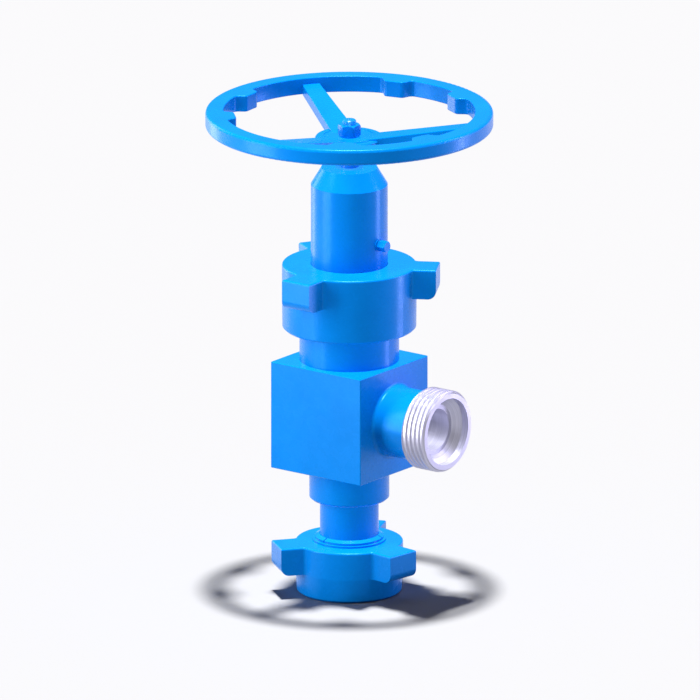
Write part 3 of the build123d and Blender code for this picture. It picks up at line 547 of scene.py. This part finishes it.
hubTopMm = nodeMm("wheel_washer")[0][2]
for number in range(turnSign["count"]):
    middle = turnSign["firstDegrees"] + number * 360 / turnSign["count"]
    doubleArrow(f"turnSign{number + 1}", turnSign, middle, hubTopMm)
print("hub marked")

room = {
    "floorColour": "#BCBCBE",
    "floorRoughness": 0.9,
    "floorGloss": 0.05,
    "floorHalf": 12.0,
    "floorDropMm": 0.2,
    "skyColour": "#FFF0DC",
    "skyStrength": 0.10,
    "skySeen": 0.95,           # strength where the sky itself is looked at
    "floorSun": 5.75,          # straight down, so the wheel's shadow lies round the foot
    "floorSunSoft": 4.0,       # degrees
    "topLight": 8.6,
    "topRise": 84.0,
    "topSoft": 20.0,
    "sunAway": 2.0,
}
# Tall soft boxes that stand on the floor: degrees to the right of the camera, metres and watts.
softBoxes = {
    "leftBox": {"turn": -62, "away": 1.0, "wide": 0.14, "tall": 1.6, "power": 8.0, "colour": "#FFFFFF"},
    "rightBox": {"turn": 95, "away": 1.0, "wide": 0.16, "tall": 1.6, "power": 10.0, "colour": "#DCD4FF"},
    "sideBox": {"turn": -76, "away": 1.4, "wide": 0.4, "tall": 1.6, "power": 17.0, "colour": "#FFFFFF"},
    "backBox": {"turn": 228, "away": 1.4, "wide": 0.4, "tall": 1.4, "power": 5.0, "colour": "#FFFFFF"},
}
view = {
    "azimuth": 37.0,
    "elevation": 16.0,
    "frameWidth": 0.84,        # metres across the frame
    "lookHeight": 0.2986,
    "shiftRight": 0.00084,
    "distance": 9.0,
    "reach": 50.0,
}


def makeFloor():
    s, z = room["floorHalf"], -room["floorDropMm"] * mm
    mesh = bpy.data.meshes.new("floor")
    mesh.from_pydata([(-s, -s, z), (s, -s, z), (s, s, z), (-s, s, z)], [], [(0, 1, 2, 3)])
    floor = bpy.data.objects.new("floor", mesh)
    bpy.context.collection.objects.link(floor)
    material, _, shader = newMaterial("floorPaper")
    shader.inputs["Base Color"].default_value = linearColour(room["floorColour"])
    shader.inputs["Roughness"].default_value = room["floorRoughness"]
    shader.inputs["Specular IOR Level"].default_value = room["floorGloss"]
    mesh.materials.append(material)
    return floor


def towards(turnDegrees, riseDegrees):
    # A unit vector from the object to a light that stands so far to the camera's right and so high.
    turn, rise = math.radians(view["azimuth"] + turnDegrees), math.radians(riseDegrees)
    return Vector((math.sin(turn) * math.cos(rise), -math.cos(turn) * math.cos(rise), math.sin(rise)))


def makeLight(name, kind, colour, settings, place, aim, floor, onFloor):
    # onFloor "INCLUDE" lights the floor alone, "EXCLUDE" lights all but the floor.
    data = bpy.data.lights.new(name, kind)
    data.color = linearColour(colour)[:3]
    for key, value in settings.items():
        setattr(data, key, value)
    light = bpy.data.objects.new(name, data)
    light.location = place
    light.rotation_euler = (-aim).to_track_quat("-Z", "Y").to_euler()
    light.visible_camera = False
    bpy.context.collection.objects.link(light)
    receivers = bpy.data.collections.new(name + "Receivers")
    receivers.objects.link(floor)
    light.light_linking.receiver_collection = receivers
    receivers.collection_objects[0].light_linking.link_state = onFloor


def makeLights(floor):
    up = Vector((0, 0, 1))
    floorSun = {"energy": room["floorSun"], "angle": math.radians(room["floorSunSoft"])}
    makeLight("floorSun", "SUN", "#FFFFFF", floorSun, up * room["sunAway"], up, floor, "INCLUDE")
    above = towards(0, room["topRise"])
    topLight = {"energy": room["topLight"], "angle": math.radians(room["topSoft"]), "use_shadow": False}
    makeLight("topLight", "SUN", "#FFFFFF", topLight, above * room["sunAway"], above, floor, "EXCLUDE")
    for name, s in softBoxes.items():
        aim = towards(s["turn"], 0)
        box = {"energy": s["power"], "shape": "RECTANGLE", "size": s["wide"], "size_y": s["tall"]}
        place = aim * s["away"] + up * s["tall"] / 2
        makeLight(name, "AREA", s["colour"], box, place, aim, floor, "EXCLUDE")


def makeWorld():
    # The sky lights weakly, but looks as pale as the floor where it is seen above its edge.
    world = bpy.data.worlds.new("studio")
    world.use_nodes = True
    tree = world.node_tree
    background = tree.nodes["Background"]
    background.inputs["Color"].default_value = linearColour(room["skyColour"])
    seen = addNode(tree, "ShaderNodeLightPath", "Is Camera Ray")
    strength = addNode(tree, "ShaderNodeMapRange", "Result", [
        seen, 0.0, 1.0, room["skyStrength"], room["skySeen"]])
    tree.links.new(strength, background.inputs["Strength"])
    bpy.context.scene.world = world


def makeCamera():
    az, el = math.radians(view["azimuth"]), math.radians(view["elevation"])
    ahead = Vector((-math.sin(az) * math.cos(el), math.cos(az) * math.cos(el), -math.sin(el)))
    right = Vector((math.cos(az), math.sin(az), 0))
    target = Vector((0, 0, view["lookHeight"])) + right * view["shiftRight"]
    data = bpy.data.cameras.new("camera")
    data.type = "ORTHO"
    data.ortho_scale = view["frameWidth"]
    data.clip_end = view["reach"]
    camera = bpy.data.objects.new("camera", data)
    camera.location = target - ahead * view["distance"]
    camera.rotation_euler = ahead.to_track_quat("-Z", "Y").to_euler()
    bpy.context.collection.objects.link(camera)
    bpy.context.scene.camera = camera


floorPaper = makeFloor()
makeWorld()
makeLights(floorPaper)
makeCamera()
bpy.context.scene.view_settings.view_transform = "Standard"
print("stage set")
